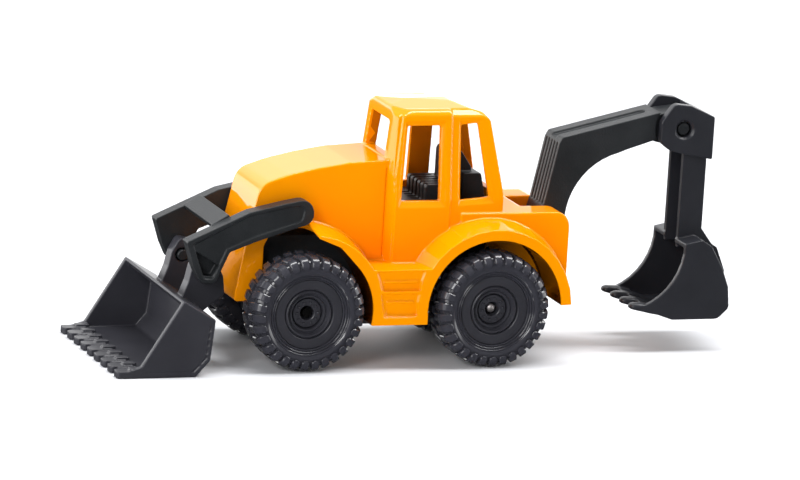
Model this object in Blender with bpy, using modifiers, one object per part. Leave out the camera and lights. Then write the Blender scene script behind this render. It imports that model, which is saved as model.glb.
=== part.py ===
"""A toy backhoe loader: a painted die-cast body on a plastic chassis, with a loader in front and a hoe behind.

The front points to -X, and Z = 0 is the ground. Numbers are millimetres from the point on the ground under
the front axle. The root object then shifts everything, so that the middle of the whole toy is at X = 0.
"""

import math

import bmesh
import bpy
from mathutils import Matrix

MM = 0.001

# Driving dimensions
TOY_MIDDLE_X = 24.4
WHEEL_RADIUS = 10.5
WHEELBASE = 35.1
REAR_ARCH_X = 35.3
WHEEL_OUTER_Y = 17.2
WHEEL_INNER_Y = 8.1
RIM_RADIUS = 7.0
AXLE_RADIUS = 0.83
BEARING_RADIUS = 1.0
LUG_COUNT = 30

FENDER_Y = 15.7
HOOD_Y = 7.5
CAB_Y = 9.45
DOOR_Y = 9.9
CORE_Y = 5.6
CHASSIS_Y = 5.3
GAP = 0.3

BODY_BOTTOM_Z = 8.05
NOSE_BOTTOM_Z = 11.0
STEP_TOP_Z = 18.2
SILL_Z = 29.3
ROOF_Z = 46.3
COWL_Z = 34.0
PILLAR_LEAN = 0.11

ARM_INNER_Y = 7.9
ARM_OUTER_Y = 10.8
BUCKET_Y = 17.8
BUCKET_WALL = 1.1
LOADER_TEETH = 9
PEG_RADIUS = 1.0
PEG_HOLE_RADIUS = 1.3
PIN_RADIUS = 1.15
PIN_HOLE_RADIUS = 1.45

BOOM_Y = 3.85
RECESS_Y = 4.15
TONGUE_Y = 3.05
CHEEK_INNER_Y = 3.4
CHEEK_OUTER_Y = 5.0
STICK_Y = 3.5
HOE_Y = 8.0
HOE_TEETH = 4

# Joint axes, all along Y, as (x, z)
FRONT_AXLE = (0.0, WHEEL_RADIUS)
REAR_AXLE = (WHEELBASE, WHEEL_RADIUS)
LOADER_PIVOT = (-0.8, 27.5)
BUCKET_PIVOT = (-17.5, 17.0)
BOOM_PIVOT = (48.9, 21.6)
STICK_PIVOT = (74.16, 40.82)

# Riveted posts between body and chassis, as x on the middle plane
POSTS = {"front": 14.6, "rear": 45.0}

ORANGE = (0.93, 0.33, 0.004)
BLACK = (0.018, 0.018, 0.021)
STEEL = (0.55, 0.55, 0.56)

SIDES = (-1, 1)


# ---------------------------------------------------------------- outlines


def arc(centre, radius, start, end, steps):
    """Points on an arc about (x, z), with its angles in degrees from +X towards +Z."""
    angles = [math.radians(start + (end - start) * i / steps) for i in range(steps + 1)]
    return [(centre[0] + radius * math.cos(a), centre[1] + radius * math.sin(a)) for a in angles]


def rounded(corners, steps=4):
    """An outline whose corners are (x, z), or (x, z, radius) for a rounded one."""
    points = []
    for i, corner in enumerate(corners):
        x, z = corner[:2]
        if len(corner) == 2:
            points.append((x, z))
            continue
        before, after = corners[i - 1], corners[(i + 1) % len(corners)]
        ways = []
        for other in (before, after):
            length = math.dist((x, z), other[:2])
            ways.append(((other[0] - x) / length, (other[1] - z) / length))
        (ax, az), (bx, bz) = ways
        half = math.acos(max(-1, min(1, ax * bx + az * bz))) / 2
        reach = corner[2] / math.tan(half)
        middle = math.hypot(ax + bx, az + bz)
        depth = corner[2] / math.sin(half)
        cx, cz = x + (ax + bx) / middle * depth, z + (az + bz) / middle * depth
        start = math.atan2(z + az * reach - cz, x + ax * reach - cx)
        end = math.atan2(z + bz * reach - cz, x + bx * reach - cx)
        turn = (end - start + math.pi) % math.tau - math.pi
        points += arc((cx, cz), corner[2], math.degrees(start), math.degrees(start + turn), steps)
    return points


def box_outline(x0, x1, z0, z1):
    return [(x0, z0), (x1, z0), (x1, z1), (x0, z1)]


# ---------------------------------------------------------------- solids

# How an outline's two coordinates and its thickness lie, for each direction that it can be extruded along
TURNS = {
    "X": Matrix(((0, 0, 1, 0), (1, 0, 0, 0), (0, 1, 0, 0), (0, 0, 0, 1))),
    "Y": Matrix(((1, 0, 0, 0), (0, 0, -1, 0), (0, 1, 0, 0), (0, 0, 0, 1))),
    "Z": Matrix.Identity(4),
}
OUTWARD = {"X": (1, 0, 0), "Y": (0, 1, 0), "Z": (0, 0, 1)}


def new_object(name, mesh):
    obj = bpy.data.objects.new(name, mesh)
    bpy.context.scene.collection.objects.link(obj)
    return obj


def mesh_object(name, build):
    """An object whose mesh is made by build(bmesh)."""
    mesh = bpy.data.meshes.new(name)
    shape = bmesh.new()
    build(shape)
    bmesh.ops.recalc_face_normals(shape, faces=shape.faces)
    shape.to_mesh(mesh)
    shape.free()
    return new_object(name, mesh)


def evaluated_mesh(obj):
    bpy.context.view_layer.update()
    graph = bpy.context.evaluated_depsgraph_get()
    return bpy.data.meshes.new_from_object(obj.evaluated_get(graph))


def prism(outline, low, high, along="Y"):
    """A flat outline extruded from low to high: (x, z) along Y, (y, z) along X, or (x, y) along Z."""
    curve = bpy.data.curves.new("outline", "CURVE")
    curve.dimensions = "2D"
    curve.fill_mode = "BOTH"
    curve.extrude = (high - low) / 2 * MM
    spline = curve.splines.new("POLY")
    spline.points.add(len(outline) - 1)
    for point, (a, b) in zip(spline.points, outline):
        point.co = (a * MM, b * MM, 0, 1)
    spline.use_cyclic_u = True
    flat = new_object("outline", curve)
    mesh = evaluated_mesh(flat)
    bpy.data.objects.remove(flat)
    middle = (low + high) / 2 * MM
    shift = Matrix.Translation([middle * part for part in OUTWARD[along]])

    def build(shape):
        shape.from_mesh(mesh)
        bmesh.ops.remove_doubles(shape, verts=shape.verts, dist=1e-7)
        shape.transform(shift @ TURNS[along])

    return mesh_object("prism", build)


def box(x, y, z):
    """A box from its low and high limits along each axis."""
    return prism(box_outline(*x, *z), *y)


def cylinder(centre, radius, low, high, segments=32, top_radius=None):
    """A cylinder or cone along Y, about (x, z)."""

    def build(shape):
        bmesh.ops.create_cone(
            shape,
            cap_ends=True,
            segments=segments,
            radius1=radius * MM,
            radius2=(radius if top_radius is None else top_radius) * MM,
            depth=(high - low) * MM,
        )
        place = Matrix.Translation((centre[0] * MM, (low + high) / 2 * MM, centre[1] * MM))
        shape.transform(place @ Matrix.Rotation(math.radians(-90), 4, "X"))

    return mesh_object("cylinder", build)


def turned(profile, centre, side, steps):
    """A closed (radius, y) profile turned about the Y axis through (x, z), on one side of the toy."""
    mesh = bpy.data.meshes.new("profile")
    shape = bmesh.new()
    verts = [shape.verts.new((r * MM, side * y * MM, 0)) for r, y in profile]
    for a, b in zip(verts, verts[1:] + verts[:1]):
        shape.edges.new((a, b))
    shape.to_mesh(mesh)
    shape.free()
    obj = new_object("profile", mesh)
    screw = obj.modifiers.new("Turn", "SCREW")
    screw.axis = "Y"
    screw.steps = screw.render_steps = steps
    screw.use_merge_vertices = True
    screw.merge_threshold = 1e-6
    ring = evaluated_mesh(obj)
    bpy.data.objects.remove(obj)

    def build(shape):
        shape.from_mesh(ring)
        shape.transform(Matrix.Translation((centre[0] * MM, 0, centre[1] * MM)))

    return mesh_object("turned", build)


def combine(target, tools, operation):
    """Joins, cuts or intersects the target with each tool, which is used up."""
    for tool in tools:
        modifier = target.modifiers.new(operation, "BOOLEAN")
        modifier.operation = operation
        modifier.object = tool
        target.data = evaluated_mesh(target)
        target.modifiers.clear()
        bpy.data.objects.remove(tool)
    return target


def join(target, *tools):
    return combine(target, tools, "UNION")


def cut(target, *tools):
    return combine(target, tools, "DIFFERENCE")


def common(target, *tools):
    return combine(target, tools, "INTERSECT")


def reshape(obj, move):
    """Moves each vertex to move(x, y, z), in millimetres."""
    for vertex in obj.data.vertices:
        vertex.co = [value * MM for value in move(*(part / MM for part in vertex.co))]
    return obj


def split_level(obj, z):
    """Adds a ring of edges at height z, so that the shape can bend there."""
    shape = bmesh.new()
    shape.from_mesh(obj.data)
    everything = shape.verts[:] + shape.edges[:] + shape.faces[:]
    bmesh.ops.bisect_plane(shape, geom=everything, plane_co=(0, 0, z * MM), plane_no=(0, 0, 1))
    shape.to_mesh(obj.data)
    shape.free()
    return obj


def span(side, inner, outer):
    """The limits in y between two distances from the middle plane, on one side of it."""
    return sorted((side * inner, side * outer))


# ---------------------------------------------------------------- body casting


def fender_outline(arch, crease_radius, centre, first, last):
    """The outline of a fender's edge: its arch, then back along its outer crease."""
    crease = arc(centre, crease_radius, first, last, 16)
    return arch + crease[::-1]


def sloped_fender(outline, centre, arch_radius, rise, inner, side):
    """A fender whose top climbs towards the body, by moving its inner points away from the wheel."""

    def climb(x, y, z):
        radius = math.dist((x, z), centre)
        if radius < arch_radius + 1.2 or abs(y) > FENDER_Y - 1:
            return x, y, z
        factor = (radius + rise) / radius
        return centre[0] + (x - centre[0]) * factor, y, centre[1] + (z - centre[1]) * factor

    return reshape(prism(outline, *span(side, inner, FENDER_Y)), climb)


FRONT_ARCH = arc(FRONT_AXLE, 12.2, -12, 44, 9) + [(5.5, 22.45), (1.2, 24.2)]
REAR_ARCH = arc((REAR_ARCH_X, WHEEL_RADIUS), 12.75, 2.5, 186, 28)


def front_fender(side):
    outline = fender_outline(FRONT_ARCH, 14.25, FRONT_AXLE, -10, 85)
    return sloped_fender(outline, FRONT_AXLE, 12.2, 1.15, 6.5, side)


def rear_fender(side):
    centre = (REAR_ARCH_X, WHEEL_RADIUS)
    outline = fender_outline(REAR_ARCH, 14.7, centre, 2.5, 186)
    return sloped_fender(outline, centre, 12.75, 1.2, 8.6, side)


def hood():
    """The bonnet and the nose, a little wider towards the cab."""
    outline = rounded(
        [
            (-11.3, NOSE_BOTTOM_Z, 0.6),
            (17.2, NOSE_BOTTOM_Z),
            (17.2, 36.6),
            (9.2, 36.15),
            (3.4, 35.25),
            (-2.2, 34.0, 9),
            (-7.4, 32.3, 3.6),
            (-9.2, 24.0),
        ],
        steps=6,
    )

    def widen(x, y, z):
        return x, y * (1 + 0.0028 * (x - 9)), z

    return reshape(prism(outline, -HOOD_Y, HOOD_Y), widen)


def mirrored(half):
    """A closed front view from its half at positive y, which may end on the middle plane."""
    return half + [(-point[0], *point[1:]) for point in reversed(half) if point[0]]


def lean_back(x, y, z):
    """Leans the front of the cab back above the cowl."""
    return x + (PILLAR_LEAN * max(0.0, z - COWL_Z) if x < 20 else 0.0), y, z


def cab():
    """The cab's outer shape: its side view, cut to its front view and its plan."""
    side_view = rounded(
        [
            (15.5, 13.0),
            (38.0, 13.0),
            (38.0, 30.5),
            (35.2, 43.6, 1.0),
            (34.0, 45.0, 1.4),
            (29.6, 46.1),
            (21.0, ROOF_Z),
            (17.2, 45.9, 0.8),
            (15.9, COWL_Z),
        ]
    )
    front_view = rounded(
        mirrored([(CAB_Y, 13.0), (CAB_Y, SILL_Z), (7.9, 44.5, 0.6), (6.5, 45.6, 1.0), (0.0, ROOF_Z)])
    )
    plan = rounded([(15.9, 6.6), (15.9, -6.6), (17.2, -9.9, 1.2), (40.0, -9.9), (40.0, 9.9), (17.2, 9.9, 1.2)])
    return common(
        prism(side_view, -12, 12),
        prism(front_view, 10, 45, "X"),
        reshape(split_level(prism(plan, 0, 60, "Z"), COWL_Z), lean_back),
    )


def door(side):
    """The door, with the gutter over it, which stands a little out of the cab's side."""
    outline = rounded(
        [
            (side * 6.5, STEP_TOP_Z - 1),
            (side * DOOR_Y, STEP_TOP_Z - 1),
            (side * DOOR_Y, SILL_Z),
            (side * 8.3, 44.8, 0.4),
            (side * 7.6, 45.5, 0.4),
            (side * 6.5, 45.7),
        ]
    )
    return reshape(split_level(prism(outline, 17.2, 27.7, "X"), COWL_Z), lean_back)


def rear_box():
    """The deck behind the cab, with rounded rear edges."""
    outline = rounded(
        [(30.0, NOSE_BOTTOM_Z), (50.9, NOSE_BOTTOM_Z, 0.8), (50.9, 27.0, 2.6), (30.0, 27.0)]
    )
    return prism(outline, -DOOR_Y, DOOR_Y)


def step_block(side):
    return box((11.0, 24.0), span(side, 4.5, FENDER_Y), (BODY_BOTTOM_Z - 1, STEP_TOP_Z))


def tread_pocket(side, x0, x1, z0, z1, depth):
    """A wedge cut into the step: a level tread below, and a sloping back that comes out at the top."""
    face = side * FENDER_Y
    out = side * (FENDER_Y + 1)
    wedge = [(out, z0), (face - side * depth, z0), (face - side * depth * 0.55, z1 - 0.3), (out, z1 + 0.2)]
    return prism(wedge, x0, x1, "X")


def cut_windows(body):
    door_window = rounded([(18.5, SILL_Z), (25.8, SILL_Z), (25.7, 42.8, 0.3), (19.45, 42.8, 0.3)])
    quarter_window = rounded([(29.85, SILL_Z), (35.35, 29.8), (32.85, 43.1, 0.3), (29.7, 42.8, 0.3)])
    windscreen = rounded([(-5.2, 36.75), (5.2, 36.75), (4.9, 43.3, 0.6), (-4.9, 43.3, 0.6)])
    rear_window = rounded([(-6.3, 30.4, 0.6), (6.3, 30.4, 0.6), (5.2, 43.0, 0.6), (-5.2, 43.0, 0.6)])
    return cut(
        body,
        prism(door_window, -14, 14),
        prism(quarter_window, -14, 14),
        prism(windscreen, 12, 22, "X"),
        prism(rear_window, 31, 42, "X"),
    )


def cabin():
    """The space inside the cab, above the floor of its interior."""
    side_view = [(18.0, 24.9), (36.6, 24.9), (36.6, 30.3), (33.6, 43.9), (19.1, 43.9), (18.0, COWL_Z)]
    front_view = mirrored([(8.1, 24.0), (8.1, SILL_Z), (6.9, 43.2), (6.3, 43.8), (0.0, 44.3)])
    return common(prism(side_view, -9, 9), prism(front_view, 10, 45, "X"))


def cut_hollows(body):
    """Opens the casting from below, which leaves a shell around the chassis and the cab interior."""
    hood_inside = rounded(
        [(-9.6, 5.0), (13.0, 5.0), (13.0, 34.4), (3.4, 33.6), (-2.2, 32.4), (-6.2, 30.6, 2.4), (-7.7, 24.0)]
    )
    cut(
        body,
        prism(hood_inside, -CORE_Y - 0.6, CORE_Y + 0.6),
        box((18.0, 36.6), (-CORE_Y, CORE_Y), (5.0, 26.0)),
        cabin(),
        box((9.0, 42.2), (-CORE_Y, CORE_Y), (5.0, 16.0)),
    )
    for side in SIDES:
        cut(body, box((14.2, 20.8), span(side, CORE_Y + 1.0, FENDER_Y - 1.5), (5.0, 16.6)))


def cut_wheel_wells(body):
    front = FRONT_ARCH + [(-2.5, 24.4), (-5.2, 23.2), (-6.2, 21.0), (-6.2, 4.0), (12.5, 4.0)]
    rear = REAR_ARCH + [(22.6, 4.0), (52.5, 4.0), (52.5, NOSE_BOTTOM_Z)]
    for side in SIDES:
        cut(body, prism(front, *span(side, CORE_Y - 0.2, 20)))
        cut(body, prism(rear, *span(side, CORE_Y - 0.2, 20)))


def cut_boom_recess(body):
    recess = rounded([(43.4, 18.0), (60, 18.0), (60, 32), (43.4, 32)])
    cut(body, prism(recess, -RECESS_Y, RECESS_Y))
    chamfer = [(48.4, 27.4), (52.0, 25.4), (52.0, 29.0), (48.4, 29.0)]
    cut(body, prism(chamfer, -RECESS_Y - 0.9, RECESS_Y + 0.9))
    cut(body, cylinder(BOOM_PIVOT, PEG_HOLE_RADIUS, -5.9, 5.9, 24))


def body_casting():
    body = join(cab(), hood(), rear_box())
    for side in SIDES:
        join(body, door(side), step_block(side), front_fender(side), rear_fender(side))
    cut(body, box((-20, 60), (-20, 20), (0.0, BODY_BOTTOM_Z)))
    cut_wheel_wells(body)
    cut_hollows(body)
    cut_boom_recess(body)
    cut_windows(body)
    for x, top in ((POSTS["front"], 20.0), (POSTS["rear"], 18.0)):
        solid, hole = post(x, top)
        cut(join(body, solid), hole)
    for side in SIDES:
        cut(
            body,
            cylinder(LOADER_PIVOT, PEG_HOLE_RADIUS, *span(side, 4.5, 9.0), 24),
            tread_pocket(side, 13.9, 21.0, 14.3, 16.8, 0.8),
            tread_pocket(side, 14.7, 20.6, 9.8, 12.3, 0.8),
        )
    return body


def post(x, top):
    """A post that comes down from the casting to the chassis, with a blind hole for its rivet."""
    hole = turned_post(x, 1.1, 5.0, BODY_BOTTOM_Z + 3.4)
    return turned_post(x, 2.1, BODY_BOTTOM_Z, top), hole


def turned_post(x, radius, low, high, segments=20):
    """A cylinder along Z on the middle plane."""
    return prism(arc((x, 0), radius, 0, 360 - 360 / segments, segments - 1), low, high, "Z")


# ---------------------------------------------------------------- chassis, interior and rivets


def axle_tower(x0, x1, top):
    """A block on the chassis plate, which fills the wheel wells' inner side and carries an axle."""
    outline = rounded([(x0, 7.0), (x1, 7.0), (x1, top, 1.5), (x0, top, 1.5)])
    return prism(outline, -CHASSIS_Y, CHASSIS_Y)


def chassis_plate():
    plate = rounded([(-5.0, -6.9, 1.5), (49.0, -6.9, 1.5), (49.0, 6.9, 1.5), (-5.0, 6.9, 1.5)])
    chassis = prism(plate, 6.3, BODY_BOTTOM_Z - GAP, "Z")
    join(chassis, axle_tower(-5.8, 11.4, 22.6), axle_tower(25.5, 42.0, 15.6))
    for axle in (FRONT_AXLE, REAR_AXLE):
        cut(chassis, cylinder(axle, BEARING_RADIUS, -8, 8, 30))
    for x in POSTS.values():
        cut(chassis, turned_post(x, 1.1, 5.0, 9.0))
    return chassis


def rivet(x):
    """A round-headed rivet under the chassis, whose shank stands in the casting's post."""
    shank = turned_post(x, 0.8, 5.9, BODY_BOTTOM_Z + 3.0, 16)
    head = turned_post(x, 1.9, 5.55, 6.0, 20)
    return join(head, shank)


def seat_ribs(x0, x1, z0, z1):
    """Grooves along the cushion, over its top and down its front."""
    pitch, count = 1.8, 5
    for i in range(count):
        y = (i - (count - 1) / 2) * pitch
        yield box((x0, x1), (y - 0.22, y + 0.22), (z0, z1))


def cab_interior():
    """One moulding: the floor, a ribbed seat with its backrest, and the console behind it."""
    core = box((18.4, 35.9), (-CHASSIS_Y, CHASSIS_Y), (16.6, 27.0))
    floor = box((18.4, 36.2), (-7.8, 7.8), (25.3, 28.2))
    cushion = prism(rounded([(24.6, 26.0), (24.6, 31.3, 0.5), (30.0, 31.3), (30.0, 26.0)]), -5.2, 5.2)
    backrest = prism(
        rounded([(29.2, 26.0), (29.2, 37.2, 0.9), (31.6, 37.2, 0.8), (33.7, 34.2), (34.4, 26.0)]), -3.4, 3.4
    )
    console = prism(
        rounded([(31.6, 26.0), (31.6, 33.4), (35.0, 33.4, 0.4), (36.1, 28.4), (36.1, 26.0)]), -5.2, 5.2
    )
    inside = join(core, floor, cushion, backrest, console)
    return cut(inside, *seat_ribs(23.0, 28.6, 31.0, 33.0), *seat_ribs(23.0, 24.95, 27.5, 31.2))


# ---------------------------------------------------------------- wheels and axles


def tread_ring(centre, y_low, y_high, phase, depth):
    """One row of the tyre's lugs, as a toothed ring. The phase is in lugs, and the depth is a lug's height."""
    outline = []
    pitch = 360 / LUG_COUNT
    valley = WHEEL_RADIUS - depth
    for i in range(LUG_COUNT):
        for radius, part in ((valley, 0.0), (WHEEL_RADIUS, 0.08), (WHEEL_RADIUS, 0.58), (valley, 0.66)):
            angle = (i + phase + part) * pitch
            outline += arc(centre, radius, angle, angle, 1)[:1]
    ring = prism(outline, y_low, y_high)
    return cut(ring, cylinder(centre, RIM_RADIUS + 1.5, y_low - 1, y_high + 1, LUG_COUNT))


def tyre(centre, side):
    """A tyre with two staggered rows of lugs, on a smooth carcass."""
    carcass = turned(
        [
            (RIM_RADIUS + 0.06, WHEEL_INNER_Y),
            (9.4, WHEEL_INNER_Y),
            (9.4, WHEEL_OUTER_Y - 0.3),
            (8.6, WHEEL_OUTER_Y),
            (RIM_RADIUS + 0.06, WHEEL_OUTER_Y - 0.3),
        ],
        centre,
        side,
        LUG_COUNT,
    )
    middle = (WHEEL_OUTER_Y + WHEEL_INNER_Y) / 2
    outer = tread_ring(centre, *span(side, middle - 0.1, WHEEL_OUTER_Y - 0.45), 0.17, 0.75)
    inner = tread_ring(centre, *span(side, WHEEL_INNER_Y + 0.45, middle + 0.1), 0.67, 0.85)
    return join(carcass, outer, inner)


def rim(centre, side):
    """A dished disc with two steps and a hub, open at the middle for the axle."""
    face = WHEEL_OUTER_Y
    back = WHEEL_INNER_Y + 0.2
    profile = [
        (AXLE_RADIUS + 0.08, back),
        (2.4, back),
        (2.4, back + 2.4),
        (5.9, back + 2.4),
        (5.9, back),
        (RIM_RADIUS, back),
        (RIM_RADIUS, face - 0.4),
        (4.9, face - 1.0),
        (4.7, face - 1.5),
        (3.5, face - 1.6),
        (3.2, face - 2.1),
        (2.7, face - 2.4),
        (1.3, face - 2.4),
        (AXLE_RADIUS + 0.08, face - 3.4),
    ]
    return turned(profile, centre, side, LUG_COUNT)


def axle(centre):
    end = WHEEL_OUTER_Y - 2.7
    return cylinder(centre, AXLE_RADIUS, -end, end, 20)


# ---------------------------------------------------------------- loader

ARM_OUTLINE = [
    (-21.8, 22.9, 0.4),
    (-20.3, 18.3),
    (-18.9, 15.4, 1.2),
    (-16.2, 15.2, 1.2),
    (-13.7, 20.9, 0.6),
    (-8.6, 22.8),
    (-1.6, 25.0),
    (2.0, 26.0, 2.1),
    (1.2, 30.4, 2.1),
    (-3.4, 29.6),
    (-10.2, 28.1),
]
ARM_PANEL = [
    (-20.6, 22.4),
    (-18.4, 16.1, 0.9),
    (-16.6, 15.9, 0.9),
    (-14.3, 21.4),
    (-8.8, 23.7),
    (-0.4, 26.3, 1.0),
    (0.2, 29.2, 1.0),
    (-3.4, 28.9),
    (-10.6, 27.4),
]
ARM_POCKET = [(-20.1, 21.2), (-18.3, 16.6, 0.5), (-16.7, 16.5, 0.5), (-15.6, 18.5)]


def loader_arms():
    """Two arms joined by a cross bar, with moulded pegs for the body and for the bucket."""
    bar = prism(
        [(-16.6, 25.4), (-13.5, 27.2), (-13.0, 26.3), (-16.1, 24.5)], -ARM_INNER_Y - 0.5, ARM_INNER_Y + 0.5
    )
    arms = bar
    for side in SIDES:
        join(arms, prism(rounded(ARM_OUTLINE), *span(side, ARM_INNER_Y, ARM_OUTER_Y)))
        cut(
            arms,
            prism(rounded(ARM_PANEL), *span(side, ARM_OUTER_Y - 0.3, ARM_OUTER_Y + 1)),
            prism(rounded(ARM_POCKET), *span(side, ARM_INNER_Y + 1.0, ARM_OUTER_Y + 1)),
        )
        join(
            arms,
            cylinder(LOADER_PIVOT, PEG_RADIUS, *span(side, 5.7, ARM_INNER_Y + 0.5), 20),
            cylinder(BUCKET_PIVOT, PEG_RADIUS, *span(side, 4.1, ARM_INNER_Y + 0.5), 20),
        )
    return arms


BUCKET_OUTSIDE = [
    (-34.4, 0.0),
    (-21.2, 0.0, 0.5),
    (-18.6, 3.0, 0.4),
    (-17.95, 10.3, 0.3),
    (-24.0, 13.8, 0.2),
    (-31.3, 2.0),
    (-34.4, 1.1),
]
BUCKET_INSIDE = [
    (-36.0, 1.05),
    (-21.7, 1.05, 0.6),
    (-19.75, 3.4, 0.6),
    (-19.1, 9.6, 0.3),
    (-23.7, 12.5),
    (-26.0, 16.0),
    (-36.0, 4.0),
]
BUCKET_LUG = [
    (-21.2, 12.0),
    (-20.1, 14.8),
    (-19.5, 17.6),
    (-18.1, 20.1, 1.0),
    (-15.6, 19.6, 1.4),
    (-13.6, 15.8),
    (-13.2, 12.4, 0.8),
    (-17.2, 9.4),
    (-18.8, 8.0),
]


def loader_tooth(y, width=2.6):
    """A flat tooth with a rounded tip, under a small stepped adaptor on the lip."""
    low, high = y - width / 2, y + width / 2
    plan = rounded([(-35.7, low, 0.6), (-31.5, low), (-31.5, high), (-35.7, high, 0.6)])
    tooth = prism(plan, 0.05, 1.3, "Z")
    adaptor = box((-33.2, -30.8), (y - 0.8, y + 0.8), (0.5, 1.75))
    return join(tooth, adaptor)


def loader_bucket():
    bucket = prism(rounded(BUCKET_OUTSIDE), -BUCKET_Y, BUCKET_Y)
    cut(bucket, prism(rounded(BUCKET_INSIDE), BUCKET_WALL - BUCKET_Y, BUCKET_Y - BUCKET_WALL))
    first = BUCKET_Y - 1.3
    for i in range(LOADER_TEETH):
        join(bucket, loader_tooth(first * (2 * i / (LOADER_TEETH - 1) - 1)))
    for side in SIDES:
        lug = prism(rounded(BUCKET_LUG), *span(side, 4.6, 7.5))
        join(bucket, cut(lug, prism(rounded(BUCKET_INSIDE), -9, 9)))
        cut(bucket, cylinder(BUCKET_PIVOT, PEG_HOLE_RADIUS, *span(side, 4.0, 8.0), 24))
    return bucket


# ---------------------------------------------------------------- hoe


def boom():
    """A bent beam with a ribbed front, a groove along its top, and a narrower tongue at its end."""
    bend = [(50.3, 38.3), (50.9, 39.4, 0.5), (71.6, 44.3)]
    end = [(69.4, 38.9), (63.4, 37.0)]
    under = arc((65.0, 24.0), 12.8, 104, 176, 10)
    foot = [(52.0, 24.0), (51.3, 20.6, 1.8), (48.0, 19.4, 1.8), (46.4, 21.2, 1.4), (48.1, 27.2)]
    beam = prism(rounded(bend + end + under + foot), -BOOM_Y, BOOM_Y)
    cut(beam, cylinder(STICK_PIVOT, 5.35, -6, 6, 48))
    tongue = cylinder(STICK_PIVOT, 3.1, -TONGUE_Y, TONGUE_Y, 36)
    neck_outline = [(66.0, 42.4), (71.0, 43.6), (74.6, 43.88), (73.6, 37.8), (69.6, 39.2), (66.0, 38.2)]
    neck = prism(neck_outline, -TONGUE_Y, TONGUE_Y)
    join(beam, neck, tongue)
    groove = [(52.6, 41.0), (52.6, 39.45), (66.5, 42.72), (67.4, 45.0)]
    cut(beam, prism(groove, -0.55, 0.55))
    for i in range(5):
        y = (i - 2) * 1.35
        cut(beam, prism([(46.5, 27.0), (48.45, 26.9), (50.7, 38.2), (48.5, 38.9)], y - 0.22, y + 0.22))
    join(
        beam,
        cylinder(BOOM_PIVOT, PEG_RADIUS, -5.6, 5.6, 20),
        cylinder(STICK_PIVOT, PIN_RADIUS, -4.3, 4.3, 20),
    )
    return beam


CHEEK = [
    (71.6, 36.9, 1.4),
    (69.6, 38.4, 1.2),
    (69.5, 42.2, 1.2),
    (71.9, 45.6, 1.4),
    (75.2, 45.2),
    (79.9, 43.1, 0.4),
    (79.9, 35.2, 0.3),
    (74.6, 36.2),
]
HOE_OUTSIDE = [
    (67.5, 8.5, 0.2),
    (68.9, 7.4),
    (72.9, 6.0),
    (81.9, 6.0, 1.4),
    (84.0, 8.0, 1.2),
    (83.6, 12.0),
    (82.2, 15.6),
    (79.9, 19.6, 1.4),
    (77.9, 20.8, 0.6),
    (74.5, 20.1),
]
HOE_FRONT = arc((62.9, 19.6), 11.75, 292, 362, 8)
HOE_INSIDE = [
    (66.0, 9.2),
    (69.8, 8.2),
    (73.2, 7.1),
    (81.5, 7.1, 0.9),
    (82.9, 8.6, 0.8),
    (82.5, 11.8),
    (81.1, 15.2),
    (79.1, 18.7, 1.0),
    (77.8, 19.6, 0.4),
    (74.0, 19.2),
    (70.0, 22.0),
    (64.0, 22.0),
]


def hoe_tooth(y, width=2.3):
    """A pointed tooth that carries the bucket's lip forward."""
    side_view = [(65.0, 8.5), (65.2, 8.1), (68.4, 7.3), (70.0, 7.0), (70.0, 8.3), (68.0, 8.9)]
    return prism(side_view, y - width / 2, y + width / 2)


def stick_and_hoe():
    """One moulding: the cheeks round the boom's end, the channel below them, and the hoe's bucket."""
    head = prism(rounded(CHEEK), -CHEEK_OUTER_Y, CHEEK_OUTER_Y)
    clear = [(60, 30), (73.0, 30), (78.5, 35.5), (78.5, 42.6), (76.4, 43.6), (76.4, 50), (60, 50)]
    cut(head, prism(clear, -CHEEK_INNER_Y, CHEEK_INNER_Y))
    channel = box((74.8, 79.4), (-STICK_Y, STICK_Y), (18.6, 37.2))
    cut(channel, box((73.0, 78.3), (1.0 - STICK_Y, STICK_Y - 1.0), (10.0, 40.0)))
    bucket = prism(rounded(HOE_OUTSIDE), -HOE_Y, HOE_Y)
    cut(
        bucket,
        prism(HOE_FRONT + [(74.65, 26), (60, 26), (60, 8.7)], -12, 12),
        prism(rounded(HOE_INSIDE), 1.0 - HOE_Y, HOE_Y - 1.0),
        box((70.0, 78.3), (1.0 - STICK_Y, STICK_Y - 1.0), (14.0, 24.0)),
    )
    rib = rounded(
        [
            (79.4, 22.0),
            (81.6, 19.1),
            (82.7, 18.4, 0.4),
            (84.5, 14.0, 0.3),
            (84.2, 10.5),
            (82.4, 12.0),
            (78.6, 18.9),
            (78.4, 22.0),
        ]
    )
    stick = join(head, channel, bucket, prism(rib, -STICK_Y, STICK_Y))
    for i in range(HOE_TEETH):
        join(stick, hoe_tooth((HOE_Y - 1.15) * (2 * i / (HOE_TEETH - 1) - 1)))
    wide = PIN_HOLE_RADIUS + 0.6
    deep, proud = CHEEK_OUTER_Y - 0.5, CHEEK_OUTER_Y + 0.1
    return cut(
        stick,
        cylinder(STICK_PIVOT, PIN_HOLE_RADIUS, -6, 6, 28),
        cylinder(STICK_PIVOT, wide, -proud, -deep, 28, PIN_HOLE_RADIUS),
        cylinder(STICK_PIVOT, PIN_HOLE_RADIUS, deep, proud, 28, wide),
    )


# ---------------------------------------------------------------- assembly


def material(name, colour, roughness, metallic=0.0):
    made = bpy.data.materials.new(name)
    made.use_nodes = True
    shader = made.node_tree.nodes["Principled BSDF"]
    shader.inputs["Base Color"].default_value = (*colour, 1)
    shader.inputs["Roughness"].default_value = roughness
    shader.inputs["Metallic"].default_value = metallic
    made.diffuse_color = (*colour, 1)
    return made


def empty(name, place, parent=None):
    """An empty on a joint's axis, placed in the toy's frame."""
    obj = bpy.data.objects.new(name, None)
    obj.parent = parent
    base = parent["place"] if parent else (0.0, 0.0)
    obj.location = ((place[0] - base[0]) * MM, 0, (place[1] - base[1]) * MM)
    obj["place"] = place
    return obj


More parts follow.
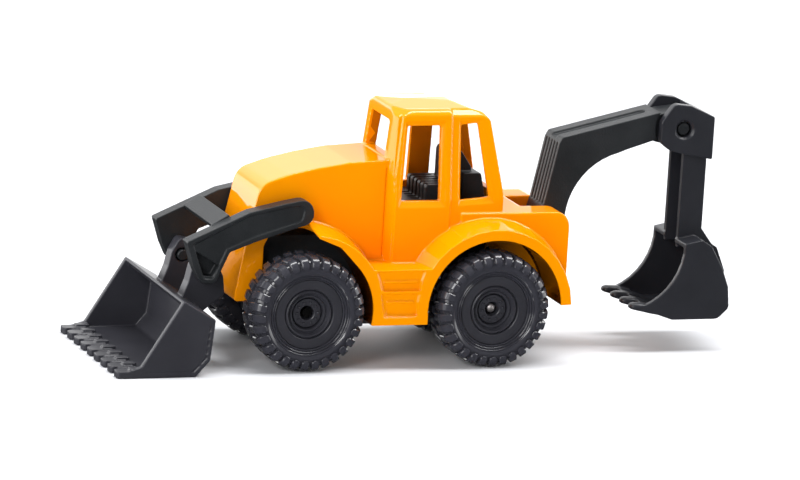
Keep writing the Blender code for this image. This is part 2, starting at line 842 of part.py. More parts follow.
def finish(obj, name, body, finish_material, collection):
    """Names a piece, puts its origin on its body's axis and shades its round faces smooth."""
    x, z = body["place"]
    obj.name = obj.data.name = name
    obj.data.transform(Matrix.Translation((-x * MM, 0, -z * MM)))
    obj.data.materials.clear()
    obj.data.materials.append(finish_material)
    obj.data.shade_smooth()
    obj.data.set_sharp_from_angle(angle=math.radians(30))
    bpy.context.scene.collection.objects.unlink(obj)
    collection.objects.link(obj)
    obj.parent = body


def main():
    for obj in list(bpy.data.objects):
        bpy.data.objects.remove(obj)
    toy = bpy.data.collections.new("toy_backhoe_loader")
    bpy.context.scene.collection.children.link(toy)

    paint = material("orange_paint", ORANGE, 0.25)
    plastic = material("black_plastic", BLACK, 0.45)
    steel = material("steel", STEEL, 0.35, 1.0)

    root = empty("toy", (0.0, 0.0))
    root.location.x = -TOY_MIDDLE_X * MM
    front = empty("front_axle_axis", FRONT_AXLE, root)
    rear = empty("rear_axle_axis", REAR_AXLE, root)
    lift = empty("loader_lift_axis", LOADER_PIVOT, root)
    tilt = empty("bucket_tilt_axis", BUCKET_PIVOT, lift)
    pitch = empty("boom_pitch_axis", BOOM_PIVOT, root)
    swing = empty("stick_swing_axis", STICK_PIVOT, pitch)
    for joint in (root, front, rear, lift, tilt, pitch, swing):
        toy.objects.link(joint)

    finish(body_casting(), "body_casting", root, paint, toy)
    finish(chassis_plate(), "chassis_plate", root, plastic, toy)
    finish(cab_interior(), "cab_interior", root, plastic, toy)
    for place, x in POSTS.items():
        finish(rivet(x), f"rivet_{place}", root, steel, toy)
    for place, centre, body in (("front", FRONT_AXLE, front), ("rear", REAR_AXLE, rear)):
        finish(axle(centre), f"axle_{place}", body, steel, toy)
        for hand, side in (("left", -1), ("right", 1)):
            finish(tyre(centre, side), f"tyre_{place}_{hand}", body, plastic, toy)
            finish(rim(centre, side), f"rim_{place}_{hand}", body, plastic, toy)
    finish(loader_arms(), "loader_arms", lift, plastic, toy)
    finish(loader_bucket(), "loader_bucket", tilt, plastic, toy)
    finish(boom(), "boom", pitch, plastic, toy)
    finish(stick_and_hoe(), "stick_and_hoe", swing, plastic, toy)


main()
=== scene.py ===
"""The looks of the toy backhoe loader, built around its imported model.

Lengths are millimetres unless a name ends in _M. A shape's own numbers are (x, y, z) or (x, z), with x
measured backwards from the front axle, and in_frame() takes that x to the frame's.
"""

import math

import bmesh
import bpy
from mathutils import Matrix, Vector


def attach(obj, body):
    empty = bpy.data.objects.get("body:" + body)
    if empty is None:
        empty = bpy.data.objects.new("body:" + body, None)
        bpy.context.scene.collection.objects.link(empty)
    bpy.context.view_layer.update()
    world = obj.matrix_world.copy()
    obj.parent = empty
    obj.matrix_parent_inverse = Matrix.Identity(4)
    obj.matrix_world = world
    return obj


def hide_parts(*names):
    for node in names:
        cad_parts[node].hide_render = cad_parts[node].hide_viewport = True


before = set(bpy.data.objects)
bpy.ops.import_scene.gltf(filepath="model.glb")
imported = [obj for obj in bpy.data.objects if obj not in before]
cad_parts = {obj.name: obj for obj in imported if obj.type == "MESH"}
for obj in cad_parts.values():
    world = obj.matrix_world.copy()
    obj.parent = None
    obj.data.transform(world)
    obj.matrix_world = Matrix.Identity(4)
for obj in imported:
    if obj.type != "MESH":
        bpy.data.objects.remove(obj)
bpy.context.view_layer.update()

MM = 0.001
TOY_MIDDLE_X = 24.4
WHEELBASE = 35.1
AXLE_Z = 10.5
SIDES = {"left": -1, "right": 1}


def in_frame(x):
    """The frame's x of a distance behind the front axle."""
    return x - TOY_MIDDLE_X


FRONT_AXLE = (in_frame(0.0), AXLE_Z)
REAR_AXLE = (in_frame(WHEELBASE), AXLE_Z)


# ---------------------------------------------------------------- materials


def new_material(name):
    made = bpy.data.materials.new(name)
    made.use_nodes = True
    nodes = made.node_tree.nodes
    return made, nodes, made.node_tree.links, nodes["Principled BSDF"]


def set_inputs(node, **values):
    """Sets a node's sockets, named with _ for a space."""
    for socket, value in values.items():
        node.inputs[socket.replace("_", " ")].default_value = value


def mottle(nodes, links, shader, low, high, scale_per_m):
    """Base colour that drifts between two colours, as in a real finish."""
    place = nodes.new("ShaderNodeTexCoord")
    noise = nodes.new("ShaderNodeTexNoise")
    set_inputs(noise, Scale=scale_per_m, Detail=4)
    links.new(place.outputs["Object"], noise.inputs["Vector"])
    ramp = nodes.new("ShaderNodeValToRGB")
    for element, position, colour in zip(ramp.color_ramp.elements, (0.3, 0.7), (low, high)):
        element.position = position
        element.color = (*colour, 1)
    links.new(noise.outputs["Fac"], ramp.inputs["Fac"])
    links.new(ramp.outputs["Color"], shader.inputs["Base Color"])
    return place


def grain(nodes, links, shader, place, scale_per_m, height, strength):
    """A fine bump over the whole surface."""
    noise = nodes.new("ShaderNodeTexNoise")
    set_inputs(noise, Scale=scale_per_m, Detail=3)
    links.new(place.outputs["Object"], noise.inputs["Vector"])
    bump = nodes.new("ShaderNodeBump")
    set_inputs(bump, Distance=height * MM, Strength=strength)
    links.new(noise.outputs["Fac"], bump.inputs["Height"])
    links.new(bump.outputs["Normal"], shader.inputs["Normal"])


def paint(name, low, high):
    """Glossy paint: a matt colour under a smooth clear coat, with a slight orange peel."""
    made, nodes, links, shader = new_material(name)
    place = mottle(nodes, links, shader, low, high, scale_per_m=60)
    set_inputs(shader, Roughness=0.5, IOR=1.3, Specular_IOR_Level=0.0)
    set_inputs(shader, Coat_Weight=1.0, Coat_IOR=1.5, Coat_Roughness=0.04)
    grain(nodes, links, shader, place, scale_per_m=700, height=0.02, strength=0.12)
    return made


def plastic(name, low, high, roughness, ior, grain_height):
    made, nodes, links, shader = new_material(name)
    place = mottle(nodes, links, shader, low, high, scale_per_m=140)
    set_inputs(shader, Roughness=roughness, IOR=ior)
    grain(nodes, links, shader, place, scale_per_m=2600, height=grain_height, strength=0.5)
    return made


def steel(name, low, high, roughness):
    made, nodes, links, shader = new_material(name)
    place = mottle(nodes, links, shader, low, high, scale_per_m=900)
    set_inputs(shader, Metallic=1.0, Roughness=roughness)
    grain(nodes, links, shader, place, scale_per_m=3000, height=0.01, strength=0.4)
    return made


PAINT = paint("orange_gloss_paint", (0.93, 0.292, 0.0), (0.95, 0.306, 0.0))
# A darker copy of the orange paint: painted shade on the cab's inner faces.
CAB_SHADE_PAINT = paint("orange_paint_painted_cab_shade", (0.50, 0.135, 0.0), (0.56, 0.155, 0.0))
# A near-black copy of the orange paint: painted shade on the faces inside the wheel arches.
ARCH_SHADE_PAINT = paint("orange_paint_painted_arch_shade", (0.060, 0.012, 0.0), (0.085, 0.018, 0.0))
SATIN = plastic(
    "black_satin_plastic",
    (0.027, 0.027, 0.034),
    (0.034, 0.034, 0.042),
    roughness=0.36,
    ior=1.45,
    grain_height=0.012,
)
DARK_SATIN = plastic(
    "dark_satin_plastic",
    (0.019, 0.020, 0.025),
    (0.025, 0.026, 0.032),
    roughness=0.34,
    ior=1.45,
    grain_height=0.012,
)
GRAINED = plastic(
    "black_grained_plastic",
    (0.013, 0.0150, 0.017),
    (0.021, 0.0235, 0.026),
    roughness=0.42,
    ior=1.4,
    grain_height=0.14,
)
TYRE = plastic(
    "black_tyre_plastic",
    (0.032, 0.032, 0.040),
    (0.039, 0.039, 0.048),
    roughness=0.14,
    ior=1.5,
    grain_height=0.01,
)
STEEL = steel("plain_steel", (0.30, 0.28, 0.26), (0.50, 0.48, 0.47), roughness=0.35)
# Lighter than plain steel: a painted highlight for the glint on the rear axle's ends.
HIGHLIGHT_STEEL = steel("steel_painted_highlight", (0.80, 0.74, 0.73), (0.92, 0.87, 0.86), roughness=0.55)
# Near-black steel: painted shade on the front axle.
SHADE_STEEL = steel("steel_painted_shade", (0.03, 0.03, 0.03), (0.06, 0.06, 0.06), roughness=0.4)


def dress(obj, material):
    obj.data.materials.clear()
    obj.data.materials.append(material)
    for face in obj.data.polygons:
        face.use_smooth = True


# ---------------------------------------------------------------- making meshes

MOST_TRIANGLES = 150000
BROAD_ROUNDS = 12


def evaluated_mesh(obj):
    bpy.context.view_layer.update()
    graph = bpy.context.evaluated_depsgraph_get()
    return bpy.data.meshes.new_from_object(obj.evaluated_get(graph))


def new_vertex(shape, point):
    return shape.verts.new([part * MM for part in point])


def skin(shape, here, there):
    """The faces between two closed rows of as many vertices each."""
    count = len(here)
    for j in range(count):
        k = (j + 1) % count
        shape.faces.new((here[j], here[k], there[k], there[j]))


def solid_between(shape, sections):
    """A closed solid through a row of closed sections, capped at both ends."""
    rows = [[new_vertex(shape, point) for point in section] for section in sections]
    for here, there in zip(rows, rows[1:]):
        skin(shape, here, there)
    shape.faces.new(rows[0][::-1])
    shape.faces.new(rows[-1])


def bmesh_object(name, build):
    mesh = bpy.data.meshes.new(name)
    shape = bmesh.new()
    build(shape)
    bmesh.ops.recalc_face_normals(shape, faces=shape.faces)
    shape.to_mesh(mesh)
    shape.free()
    obj = bpy.data.objects.new(name, mesh)
    bpy.context.scene.collection.objects.link(obj)
    return obj


def combine(target, operation, sections):
    """Cuts or joins the target with a solid through the sections, whose x is behind the front axle."""
    moved = [[(in_frame(x), y, z) for x, y, z in section] for section in sections]
    tool = bmesh_object("tool", lambda shape: solid_between(shape, moved))
    modifier = target.modifiers.new(operation, "BOOLEAN")
    modifier.operation = operation
    modifier.object = tool
    target.data = evaluated_mesh(target)
    target.modifiers.clear()
    bpy.data.objects.remove(tool)


def across(outlines, side):
    """Sections that stand square to Y, from (outline of (x, z), y) pairs, on one side of the toy."""
    return [[(x, side * y, z) for x, z in outline] for outline, y in outlines]


def soften(obj, voxel, rounds, broad=None):
    """An even mesh with its corners softened, and softened more where broad(x, y, z) is above 0."""
    remesh = obj.modifiers.new("Even", "REMESH")
    remesh.mode = "VOXEL"
    remesh.voxel_size = voxel * MM
    smooth = obj.modifiers.new("Round", "SMOOTH")
    smooth.factor = 0.5
    smooth.iterations = rounds
    obj.data = evaluated_mesh(obj)
    obj.modifiers.clear()
    if broad:
        group = obj.vertex_groups.new(name="broad")
        for vertex in obj.data.vertices:
            x, y, z = (part / MM for part in vertex.co)
            weight = broad(x + TOY_MIDDLE_X, y, z)
            if weight > 0:
                group.add([vertex.index], min(1.0, weight), "REPLACE")
        more = obj.modifiers.new("Broad", "SMOOTH")
        more.factor = 0.5
        more.iterations = BROAD_ROUNDS
        more.vertex_group = "broad"


def thin_out(obj, most):
    """Fewer triangles, where the surface is flat."""
    count = sum(len(face.vertices) - 2 for face in obj.data.polygons)
    if count > most:
        fewer = obj.modifiers.new("Fewer", "DECIMATE")
        fewer.ratio = most / count


def moulded(node, body, material, voxel, rounds, detail=None, broad=None, most=MOST_TRIANGLES):
    """A CAD node's copy with finer detail, and with the soft corners of a casting or a moulding."""
    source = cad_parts[node]
    obj = bpy.data.objects.new("soft_" + node, source.data.copy())
    bpy.context.scene.collection.objects.link(obj)
    if detail:
        detail(obj)
    soften(obj, voxel, rounds, broad)
    thin_out(obj, most)
    obj.data = evaluated_mesh(obj)
    obj.modifiers.clear()
    obj.vertex_groups.clear()
    dress(obj, material)
    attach(obj, body)
    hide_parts(node)
    return obj


def piece(name, build, material, body, node, sharp=35):
    """A new mesh that rides on a body and stands for a CAD node."""
    obj = bmesh_object(name, build)
    dress(obj, material)
    obj.data.set_sharp_from_angle(angle=math.radians(sharp))
    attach(obj, body)
    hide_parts(node)


# ---------------------------------------------------------------- body casting

SILL_Z = 29.3
DOOR = {
    "opening": [(18.55, 29.35), (25.75, 29.35), (25.65, 42.75), (19.5, 42.75)],
    "surround": [(17.75, 28.2), (26.85, 28.2), (26.7, 43.8), (18.75, 43.8)],
    "depth": 0.6,
}
QUARTER = {
    "opening": [(29.9, 29.35), (35.25, 29.85), (32.8, 43.05), (29.75, 42.75)],
    "surround": [(29.35, 28.3), (36.3, 28.75), (33.6, 44.0), (29.2, 43.75)],
    "depth": 0.55,
}

ROOF_FRONT_X = 15.0
ROOF_BACK_X = 36.6
ROOF_HALF_WIDTH = 9.8
ROOF_CUTS = ((43.7, 2.9), (44.8, 5.8), (45.6, 7.9), (47.5, 11.0))  # (z, how much of the corner)

FENDER_Y = 15.7
# A panel of the step: the (front x, back x, z) of its lower and upper edges.
STEP_PANELS = (
    ((13.55, 20.75, 14.45), (12.45, 21.75, 18.0)),
    ((14.2, 20.1, 9.45), (13.4, 20.9, 13.9)),
)
STEP_PANEL_DEPTH = 0.45
STEP_LEDGES = ((14.1, 20.3, 15.75), (14.9, 19.7, 12.05))  # (front x, back x, z) of the lower edge
STEP_LEDGE_HEIGHT = 0.4

BONNET_Y = 7.62
BONNET_END = [(16.12, 19.2), (16.12, 35.0)]
SCORE_WIDTH = 0.3

FRONT_ARCH_REACH = 12.9
REAR_ARCH_REACH = 13.3
ARCH_HALF_WIDTH = 15.35
CAB_FRONT_X = 17.4
CAB_WALL = 0.95
CAB_MIDDLE = Vector((26.5, 0, 37.0))
INWARD_LEAST = 0.3  # the cosine from which a face counts as facing inwards


def door_face(z):
    """How far the door's outer face stands from the middle plane."""
    return 9.9 - 0.1032 * max(0.0, z - SILL_Z)


def cab_face(z):
    """How far the cab's outer face stands from the middle plane."""
    return 9.45 - 0.102 * max(0.0, z - SILL_Z)


def window_surround(body, side, face, opening, surround, depth):
    """A bevel round a window, from the surround's outline on the outer face down to the opening."""
    sections = []
    for outline, out in (
        (opening, -depth - 0.35),
        (opening, -depth),
        (surround, 0.02),
        (surround, 1.2),
    ):
        sections.append([(x, side * (face(z) + out), z) for x, z in outline])
    combine(body, "DIFFERENCE", sections)


def score(obj, path, face, deep, side):
    """A shallow line scored along a path on a face that is square to Y."""
    for (x0, z0), (x1, z1) in zip(path, path[1:]):
        length = math.hypot(x1 - x0, z1 - z0)
        ux, uz = (x1 - x0) / length * SCORE_WIDTH / 2, (z1 - z0) / length * SCORE_WIDTH / 2
        line = [(x0 - ux + uz, z0 - uz - ux), (x1 + ux + uz, z1 + uz - ux)]
        line += [(x1 + ux - uz, z1 + uz + ux), (x0 - ux - uz, z0 - uz + ux)]
        combine(obj, "DIFFERENCE", across([(line, face - deep), (line, face + 1.0)], side))


def roof_corner(body, end, inward, side):
    """Takes off a corner of the roof along a rounded line, more of it towards the roof's top."""
    wide = ROOF_HALF_WIDTH
    sections = []
    for z, cut in ROOF_CUTS:
        corner = [
            (end, wide),
            (end + inward * cut, wide),
            (end + inward * cut * 0.62, wide - cut * 0.3),
            (end + inward * cut * 0.3, wide - cut * 0.62),
            (end, wide - cut),
        ]
        sections.append([(x, side * y, z) for x, y in corner])
    combine(body, "DIFFERENCE", sections)


def step_detail(body, side):
    """The step's two sunk panels, between the arches' edges, each with a thin ledge across it."""
    for (front0, back0, low), (front1, back1, high) in STEP_PANELS:
        outer = [(front0, low), (back0, low), (back1, high), (front1, high)]
        inner = [
            (front0 + 0.25, low + 0.2),
            (back0 - 0.25, low + 0.2),
            (back1 - 0.25, high - 0.2),
            (front1 + 0.25, high - 0.2),
        ]
        outlines = [(inner, FENDER_Y - STEP_PANEL_DEPTH), (outer, FENDER_Y), (outer, FENDER_Y + 0.6)]
        combine(body, "DIFFERENCE", across(outlines, side))
    for front, back, low in STEP_LEDGES:
        high = low + STEP_LEDGE_HEIGHT
        ledge = [(front, low), (back, low), (back + 0.1, high), (front - 0.1, high)]
        combine(body, "UNION", across([(ledge, FENDER_Y - 1.2), (ledge, FENDER_Y - 0.12)], side))


def body_detail(body):
    for side in SIDES.values():
        window_surround(body, side, door_face, **DOOR)
        window_surround(body, side, cab_face, **QUARTER)
        step_detail(body, side)
        score(body, BONNET_END, BONNET_Y, 0.35, side)
        roof_corner(body, ROOF_FRONT_X, 1, side)
        roof_corner(body, ROOF_BACK_X, -1, side)


def body_broad(x, y, z):
    """Above 0 where the casting's edges are rounder: on the bonnet, the roof and the rear deck."""
    bonnet = min(0.5, (z - 29.5) / 2) if x < ROOF_FRONT_X else 0.0
    roof = min(1.0, (z - 43.9) / 0.6)
    rear_deck = min(0.5, (z - 23.5) / 2, (x - 38.5) / 1.5)
    return max(0.0, bonnet, roof, rear_deck)


def paint_slot(x, y, z, normal):
    """The casting's paint slot at a point: 2 (painted shade) inside the wheel arches, 1 (painted shade)
    inside the cab, otherwise 0.
    """
    for (axle_x, axle_z), reach in ((FRONT_AXLE, FRONT_ARCH_REACH), (REAR_AXLE, REAR_ARCH_REACH)):
        away_x, away_z = x - TOY_MIDDLE_X - axle_x, z - axle_z
        distance = math.hypot(away_x, away_z)
        inward = -(normal.x * away_x + normal.z * away_z) / max(distance, 0.001)
        if abs(y) < ARCH_HALF_WIDTH and distance < reach and inward > INWARD_LEAST:
            return 2
    if x < CAB_FRONT_X or z < SILL_Z + 0.3 or abs(y) > cab_face(z) - CAB_WALL:
        return 0
    return int(normal.dot((CAB_MIDDLE - Vector((x, y, z))).normalized()) > INWARD_LEAST)


casting = moulded(
    "body_casting",
    "body",
    PAINT,
    voxel=0.14,
    rounds=6,
    detail=body_detail,
    broad=body_broad,
    most=190000,
)
casting.data.materials.append(CAB_SHADE_PAINT)
casting.data.materials.append(ARCH_SHADE_PAINT)
# The faces inside the wheel arches and the cab take the darker paints, which are painted shade.
for polygon in casting.data.polygons:
    x, y, z = polygon.center / MM
    polygon.material_index = paint_slot(x + TOY_MIDDLE_X, y, z, polygon.normal)


# ---------------------------------------------------------------- plastic mouldings and steel

BUCKET_Y = 17.8
BUCKET_BORDER = [(-31.2, 0.95), (-21.7, 0.95), (-19.4, 3.4), (-18.8, 9.6)]
BOOM_TOP = ((51.4, 39.52), (66.9, 43.19))
BOOM_CHANNEL_HALF_WIDTH = 1.1
BOOM_CHANNEL_DEPTH = 0.42
HOE_Y = 8.0
HOE_TEETH = 4
# A tooth from tip to root: (x, half its width, its bottom z, its top z).
HOE_TOOTH = (
    (64.7, 0.45, 8.25, 8.75),
    (64.95, 0.85, 8.05, 9.0),
    (65.6, 1.1, 7.85, 9.2),
    (67.6, 1.2, 7.4, 9.1),
    (70.2, 1.15, 6.9, 8.4),
)


def bucket_detail(bucket):
    for side in SIDES.values():
        score(bucket, BUCKET_BORDER, BUCKET_Y, 0.28, side)


def boom_detail(boom):
    """A wide shallow channel along the top, inside the narrow one, with a round end."""
    (x0, z0), (x1, z1) = BOOM_TOP
    half = BOOM_CHANNEL_HALF_WIDTH
    slope = math.atan2(z1 - z0, x1 - x0)
    turns = [math.pi * i / 6 for i in range(1, 6)]
    plan = [(x0 - 1.0, -half), (x1, -half)]
    plan += [(x1 + half * math.sin(t), -half * math.cos(t)) for t in turns]
    plan += [(x1, half), (x0 - 1.0, half)]
    sections = []
    for up in (-BOOM_CHANNEL_DEPTH, 1.5):
        sections.append(
            [(x - up * math.sin(slope), y, z0 + (x - x0) * math.tan(slope) + up) for x, y in plan]
        )
    combine(boom, "DIFFERENCE", sections)


def squared(value):
    """Takes a circle's coordinate towards a rounded square's."""
    return math.copysign(abs(value) ** 0.7, value)


def hoe_detail(hoe):
    """Thick teeth with round tips over the narrow ones."""
    turns = [math.tau * (j + 0.5) / 12 for j in range(12)]
    ring = [(squared(math.cos(t)), squared(math.sin(t))) for t in turns]
    for i in range(HOE_TEETH):
        y = (HOE_Y - 1.15) * (2 * i / (HOE_TEETH - 1) - 1)
        sections = []
        for x, half, low, high in HOE_TOOTH:
            middle, tall = (low + high) / 2, (high - low) / 2
            sections.append([(x, y + half * wide, middle + tall * up) for wide, up in ring])
        combine(hoe, "UNION", sections)


moulded("cab_interior", "body", GRAINED, voxel=0.13, rounds=3, most=90000)
moulded("chassis_plate", "body", GRAINED, voxel=0.2, rounds=3, most=60000)
moulded("loader_arms", "loader", GRAINED, voxel=0.12, rounds=3)
moulded(
    "loader_bucket", "bucket", SATIN, voxel=0.13, rounds=3, detail=bucket_detail, most=170000
)
moulded("boom", "boom", GRAINED, voxel=0.12, rounds=3, detail=boom_detail)
moulded("stick_and_hoe", "stick", DARK_SATIN, voxel=0.12, rounds=3, detail=hoe_detail)
for node in ("rivet_front", "rivet_rear"):
    dress(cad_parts[node], STEEL)
# The front axle takes the near-black steel, as painted shade.
dress(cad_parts["axle_front"], SHADE_STEEL)


# ---------------------------------------------------------------- wheels

# Profiles are (radius, y), with y measured from the toy's middle plane. They run round a closed ring.
TYRE_STEPS = 120
TYRE_RADIUS = 10.5
TYRE_MIDDLE_Y = 12.65
TYRE_BORE = [(6.33, 9.0), (6.33, 15.86), (6.36, 15.96), (6.42, 16.12)]
TYRE_RIDGES = [
    *[(6.48, 16.20), (6.56, 16.16), (6.66, 15.98), (6.74, 16.02), (6.84, 16.22)],
    *[(6.92, 16.28), (7.00, 16.22), (7.10, 16.06), (7.18, 16.10), (7.28, 16.30)],
    *[(7.36, 16.36), (7.46, 16.32), (7.56, 16.28)],
]
TYRE_WALL = [
    *[(7.80, 16.46), (8.10, 16.60), (8.40, 16.62), (8.80, 16.52)],
    *[(9.20, 16.32), (9.60, 15.98), (9.88, 15.50)],
]
TYRE_TREAD = [(10.00, 14.80), (10.02, 10.50), (9.90, 9.80)]
TYRE_INNER_WALL = [(9.65, 9.20), (9.20, 8.75), (8.80, 8.46), (8.20, 8.38), (7.20, 8.60)]
TYRE_PROFILE = TYRE_BORE + TYRE_RIDGES + TYRE_WALL + TYRE_TREAD + TYRE_INNER_WALL

LUG_COUNT = 30
LUG_SHARE = 0.68  # the lugs' part of the way round the tread, the rest being gaps
LUG_NARROWEST_R = 9.4
LUG_END_WIDTH = 0.45
LUG_BEVEL = 0.16
LUG_DRAFT = 0.06
LUG_SLANT = 0.16
LUG_SLANT_Y = 16.0
# A lug's top, from the sidewall over the shoulder to the tread: (radius, y, height of its sides).
LUG_TOP = [
    (8.36, 16.92, 0.45),
    (8.40, 17.02, 0.50),
    (8.48, 17.08, 0.55),
    (8.62, 17.11, 0.58),
    (8.82, 17.11, 0.60),
    (9.10, 17.07, 0.64),
    (9.45, 16.94, 0.68),
    (9.82, 16.68, 0.70),
    (10.13, 16.33, 0.70),
    (10.35, 15.92, 0.70),
    (10.47, 15.42, 0.70),
    (10.50, 14.85, 0.70),
    (10.50, 13.15, 0.70),
]
LUG_PATH = [(r, y) for r, y, _ in LUG_TOP]

RIM_STEPS = 96
RIM_EDGE = [(2.4, 8.5), (6.28, 8.5), (6.28, 15.80), (6.24, 15.90), (6.14, 15.94)]
RIM_DISC = [(5.6, 15.91), (5.0, 15.89), (4.66, 15.88)]
RIM_GROOVES = [
    *[(4.56, 15.80), (4.48, 15.48), (4.40, 15.40), (4.32, 15.50), (4.22, 15.74), (4.08, 15.84)],
    *[(3.94, 15.80), (3.80, 15.56), (3.68, 15.20), (3.52, 14.98), (3.38, 15.02), (3.26, 15.14)],
    *[(3.00, 15.10), (2.92, 15.00), (2.87, 14.40), (2.76, 14.20), (2.64, 14.36), (2.60, 14.64)],
]
HUB_FACE_Y = 14.74
RIM_HUB = [(2.50, HUB_FACE_Y), (1.46, HUB_FACE_Y), (1.32, 14.64), (1.28, 14.4)]
RIM_BORE = [(1.28, 13.2), (0.95, 13.0), (0.95, 8.9)]
RIM_PROFILE = RIM_EDGE + RIM_DISC + RIM_GROOVES + RIM_HUB + RIM_BORE

BOLT_COUNT = 10
BOLT_SIDES = 10
BOLT_RING_R = 1.95
BOLT_R = 0.23
BOLT_HEIGHT = 0.40
WHEEL_TURN = {"front": 0.05, "rear": 0.11}

AXLE_SIDES = 32
AXLE_END = [(13.70, 0.83), (13.95, 0.78), (14.15, 0.62), (14.28, 0.38), (14.32, 0.12)]  # (y, radius)


def around(centre, radius, angle, y):
    """The point at a radius and an angle round a centre line along Y."""
    return (centre[0] + radius * math.cos(angle), y, centre[1] + radius * math.sin(angle))


def revolve(shape, profile, centre, side, steps):
    """A closed ring from a closed (radius, y) profile, turned about the axle."""
    rings = []
    for i in range(steps):
        angle = math.tau * i / steps
        rings.append([new_vertex(shape, around(centre, r, angle, side * y)) for r, y in profile])
    for here, there in zip(rings, rings[1:] + rings[:1]):
        skin(shape, here, there)


def path_normals(path):
    """The outward direction in (radius, y) at each point of a lug's path."""
    found = []
    for i in range(len(path)):
        before, after = path[max(0, i - 1)], path[min(len(path) - 1, i + 1)]
        along = Vector((after[0] - before[0], after[1] - before[1])).normalized()
        found.append((-along.y, along.x))
    return found


LUG_NORMALS = path_normals(LUG_PATH)


def lug(shape, centre, side, angle, mirror):
    """A bevelled bar, round-ended on the sidewall, that bends over the shoulder onto the tread."""
    sections = []
    length = 0.0
    pitch = math.tau / LUG_COUNT
    for i, ((r, y, depth), (normal_r, normal_y)) in enumerate(zip(LUG_TOP, LUG_NORMALS)):
        if i:
            length += math.dist(LUG_PATH[i - 1], LUG_PATH[i])
        half = LUG_SHARE * pitch * max(r, LUG_NARROWEST_R) / 2
        if length < half:
            rounded = math.sqrt(max(0.0, 1 - (1 - length / half) ** 2))
            half *= LUG_END_WIDTH + (1 - LUG_END_WIDTH) * rounded
        bevel = min(LUG_BEVEL, half * 0.4)
        middle = angle + LUG_SLANT * max(0.0, LUG_SLANT_Y - y) / TYRE_RADIUS
        section = []
        for wide, down in (
            (-half - LUG_DRAFT, depth),
            (-half, bevel),
            (bevel - half, 0.0),
            (half - bevel, 0.0),
            (half, bevel),
            (half + LUG_DRAFT, depth),
        ):
            radius = r - normal_r * down
            out = y - normal_y * down
            if mirror:
                out = 2 * TYRE_MIDDLE_Y - out
            section.append(around(centre, radius, middle + wide / max(radius, 1.0), side * out))
        sections.append(section)
    solid_between(shape, sections)


def bolt_head(shape, centre, side, angle):
    """A small round-topped bolt head on the hub."""
    x, _, z = around(centre, BOLT_RING_R, angle, 0.0)
    turns = [math.tau * k / BOLT_SIDES for k in range(BOLT_SIDES)]
    sections = []
    for rise, share in (
        (-0.15, 1.0),
        (BOLT_HEIGHT * 0.5, 1.0),
        (BOLT_HEIGHT * 0.85, 0.8),
        (BOLT_HEIGHT, 0.45),
    ):
        y = side * (HUB_FACE_Y + rise)
        sections.append([around((x, z), BOLT_R * share, t, y) for t in turns])
    solid_between(shape, sections)


def steel_axle(shape):
    """The rear axle, with its domed ends."""
    turns = [math.tau * i / AXLE_SIDES for i in range(AXLE_SIDES)]
    sections = []
    for y, radius in [(-y, radius) for y, radius in reversed(AXLE_END)] + AXLE_END:
        sections.append([around(REAR_AXLE, radius, t, y) for t in turns])
    solid_between(shape, sections)


def build_wheel(place, hand, centre, body):
    side = SIDES[hand]
    turn = WHEEL_TURN[place]

    def tyre(shape):
        revolve(shape, TYRE_PROFILE, centre, side, TYRE_STEPS)
        for i in range(LUG_COUNT):
            angle = math.tau * i / LUG_COUNT + turn
            lug(shape, centre, side, angle, False)
            lug(shape, centre, side, angle + math.pi / LUG_COUNT, True)

    def rim(shape):
        revolve(shape, RIM_PROFILE, centre, side, RIM_STEPS)
        for i in range(BOLT_COUNT):
            bolt_head(shape, centre, side, math.tau * i / BOLT_COUNT + turn)

    ending = f"{place}_{hand}"
    piece(f"treaded_tyre_{ending}", tyre, TYRE, body, f"tyre_{ending}")
    piece(f"dished_rim_{ending}", rim, SATIN, body, f"rim_{ending}")


# The rear axle takes the lightened steel, a painted highlight.
piece("steel_axle_rear", steel_axle, HIGHLIGHT_STEEL, "rear_wheels", "axle_rear", sharp=60)
for place, centre, body in (
    ("front", FRONT_AXLE, "front_wheels"),
    ("rear", REAR_AXLE, "rear_wheels"),
):
    for hand in SIDES:
        build_wheel(place, hand, centre, body)


# ---------------------------------------------------------------- floor, light and camera

FLOOR_HALF_M = 3.0
AZIMUTH, ELEVATION, ROLL = -20.19, 12.5, 3.5
DISTANCE_M = 1.2
LENS = 299
TARGET_M = Vector((-0.0022, 0.0002, 0.0200))


def floor():
    mesh = bpy.data.meshes.new("floor")
    far = FLOOR_HALF_M
    corners = [(-far, -far, 0), (far, -far, 0), (far, far, 0), (-far, far, 0)]
    mesh.from_pydata(corners, [], [(0, 1, 2, 3)])
    obj = bpy.data.objects.new("floor", mesh)
    bpy.context.scene.collection.objects.link(obj)
    made, nodes, links, shader = new_material("pale_floor")
    mottle(nodes, links, shader, (0.70, 0.71, 0.74), (0.72, 0.73, 0.755), scale_per_m=3)
    set_inputs(shader, Roughness=0.6)
    obj.data.materials.append(made)
    obj.visible_glossy = False


def area_light(name, place_m, aim_m, width_m, height_m, watts):
    data = bpy.data.lights.new(name, "AREA")
    data.shape = "RECTANGLE"
    data.size, data.size_y = width_m, height_m
    data.energy = watts
    obj = bpy.data.objects.new(name, data)
    obj.location = place_m
    obj.rotation_euler = (Vector(aim_m) - Vector(place_m)).to_track_quat("-Z", "Y").to_euler()
    bpy.context.scene.collection.objects.link(obj)


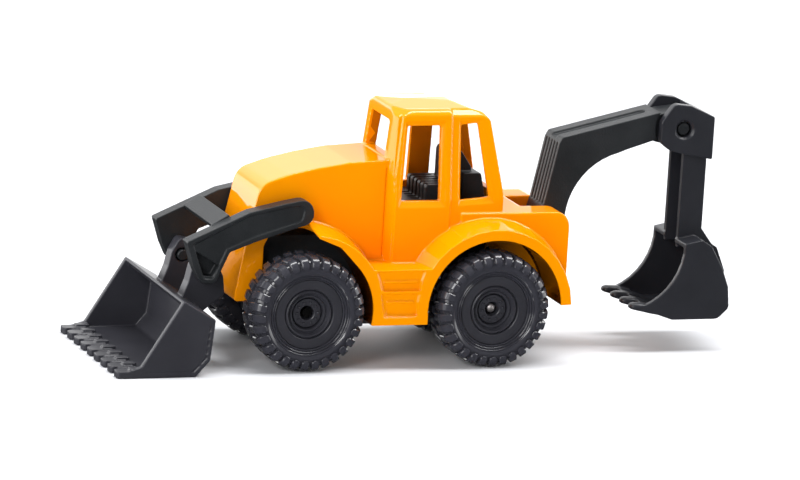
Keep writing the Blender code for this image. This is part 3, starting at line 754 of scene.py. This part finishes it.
def studio():
    """A white backdrop, with light from above, from behind and from walls at both ends of the toy."""
    world = bpy.context.scene.world or bpy.data.worlds.new("World")
    bpy.context.scene.world = world
    world.use_nodes = True
    nodes, links = world.node_tree.nodes, world.node_tree.links

    def of(operation, *values):
        made = nodes.new("ShaderNodeMath")
        made.operation = operation
        for socket, value in zip(made.inputs, values):
            links.new(value, socket)
        return made.outputs["Value"]

    def ramped(value, low, high, start, end):
        """A smooth change from start to end, as the value goes from low to high."""
        made = nodes.new("ShaderNodeMapRange")
        made.interpolation_type = "SMOOTHSTEP"
        set_inputs(made, From_Min=low, From_Max=high, To_Min=start, To_Max=end)
        links.new(value, made.inputs["Value"])
        return made.outputs["Result"]

    place = nodes.new("ShaderNodeTexCoord")
    parts = nodes.new("ShaderNodeSeparateXYZ")
    links.new(place.outputs["Generated"], parts.inputs["Vector"])
    x, y, z = (parts.outputs[axis] for axis in "XYZ")

    low_sky = ramped(z, low=0.04, high=0.36, start=0.04, end=0.75)
    high_sky = ramped(z, low=0.36, high=0.6, start=1.0, end=0.5)
    behind = ramped(y, low=-0.6, high=0.9, start=0.3, end=2.1)
    sky = of("MULTIPLY", of("MULTIPLY", low_sky, high_sky), behind)

    ends = ramped(of("ABSOLUTE", x), low=0.6, high=0.85, start=0.0, end=3.5)
    back = ramped(y, low=0.45, high=0.8, start=0.0, end=2.6)
    walls_bottom = ramped(z, low=-0.13, high=-0.05, start=0.0, end=1.0)
    walls_top = ramped(z, low=0.12, high=0.27, start=1.0, end=0.0)
    walls = of("MULTIPLY", of("MAXIMUM", ends, back), of("MULTIPLY", walls_bottom, walls_top))

    white_to_camera = nodes.new("ShaderNodeLightPath").outputs["Is Camera Ray"]
    seen = of("MAXIMUM", of("MAXIMUM", sky, walls), white_to_camera)
    links.new(seen, nodes["Background"].inputs["Strength"])
    set_inputs(nodes["Background"], Color=(1, 1, 1, 1))


def camera():
    data = bpy.data.cameras.new("camera")
    data.sensor_width = 36
    data.lens = LENS
    data.clip_end = 20
    obj = bpy.data.objects.new("camera", data)
    a, e = math.radians(AZIMUTH), math.radians(ELEVATION)
    back = Vector((math.sin(a) * math.cos(e), -math.cos(a) * math.cos(e), math.sin(e)))
    obj.location = TARGET_M + back * DISTANCE_M
    roll = Matrix.Rotation(math.radians(ROLL), 3, "Z")
    obj.rotation_euler = ((-back).to_track_quat("-Z", "Y").to_matrix() @ roll).to_euler()
    bpy.context.scene.collection.objects.link(obj)
    bpy.context.scene.camera = obj


floor()
studio()
area_light("overhead", (0.2, -0.02, 0.6), (0.1, 0, 0.02), width_m=0.16, height_m=1.0, watts=6.8)
area_light("front_left", (-0.60, -0.60, 0.45), (0, 0, 0.02), width_m=0.3, height_m=0.4, watts=4.2)
area_light("left", (-0.78, -0.02, 0.26), (0, 0, 0.02), width_m=0.45, height_m=0.3, watts=1.7)
bpy.context.scene.view_settings.view_transform = "Standard"
camera()
